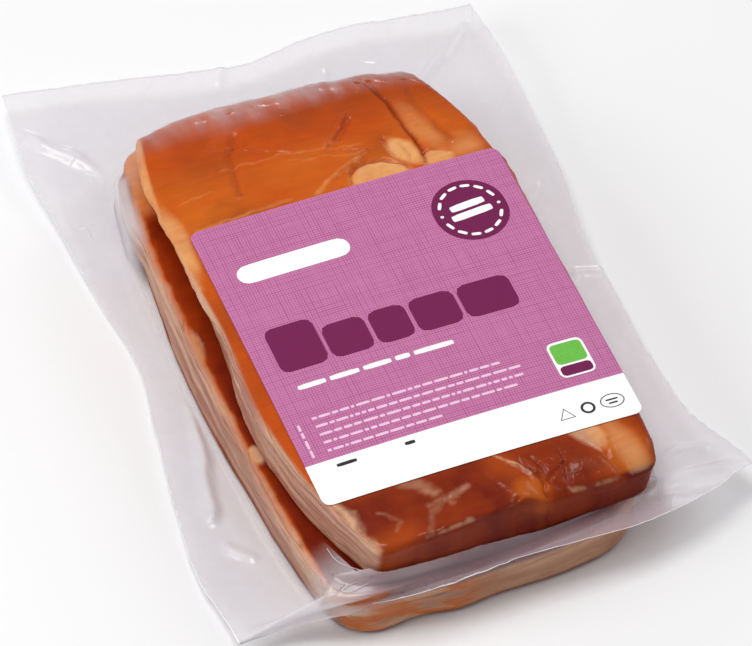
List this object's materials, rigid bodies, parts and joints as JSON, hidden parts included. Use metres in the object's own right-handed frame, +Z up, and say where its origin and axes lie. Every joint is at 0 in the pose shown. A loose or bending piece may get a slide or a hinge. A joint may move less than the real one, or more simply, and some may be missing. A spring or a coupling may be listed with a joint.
{
  "type": "vacuum pack of smoked bacon",
  "caption": "Two smoked bacon slabs stacked in a clear vacuum pouch with a wide sealed rim and a square-cornered printed label on top.",
  "frame": {"origin": "middle of the footprint's bounding box, on the table under the pack", "axes": "+X across the pack to the label's right, +Y along the pack to its far end, +Z up"},
  "size_m": [0.1984, 0.2894, 0.0468],
  "materials": {
    "bacon": "glossy smoked meat under tight clear film",
    "film": "clear, slightly milky film",
    "label": "printed satin"
  },
  "bodies": {
    "root": {"pouch": "bacon", "label": "label"}
  },
  "joints": []
}
